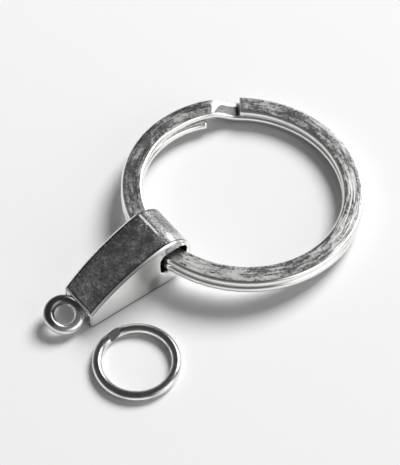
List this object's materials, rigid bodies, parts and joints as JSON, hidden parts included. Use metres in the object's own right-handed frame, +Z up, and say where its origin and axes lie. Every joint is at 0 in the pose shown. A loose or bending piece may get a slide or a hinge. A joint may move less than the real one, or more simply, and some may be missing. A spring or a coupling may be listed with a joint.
{
  "type": "key ring",
  "caption": "Two-turn flat-wire split key ring with a cast slotted connector and a small joining ring, antique silver",
  "frame": {"origin": "the point on the surface that the set lies on, straight below the centre of the split ring", "axes": "+X right, +Y away from a viewer who sees the connector at the lower left, +Z up from the surface"},
  "size_m": [0.0389, 0.0439, 0.0074],
  "materials": {
    "bright_plate": "polished plating with dark streaks on the flat faces",
    "antique_plate": "antique silver plating, dark mottled back and polished edges"
  },
  "bodies": {
    "ring": {"split_ring": "bright_plate", "joining_ring": "bright_plate"},
    "connector": {"connector": "antique_plate"}
  },
  "joints": [
    {"name": "connector_swing", "type": "hinge", "parent": "ring", "child": "connector", "pos_m": [-0.01058, -0.00902, 0.00338], "axis": [-0.6198, 0.7848, 0], "range_deg": [-8, 90]}
  ]
}
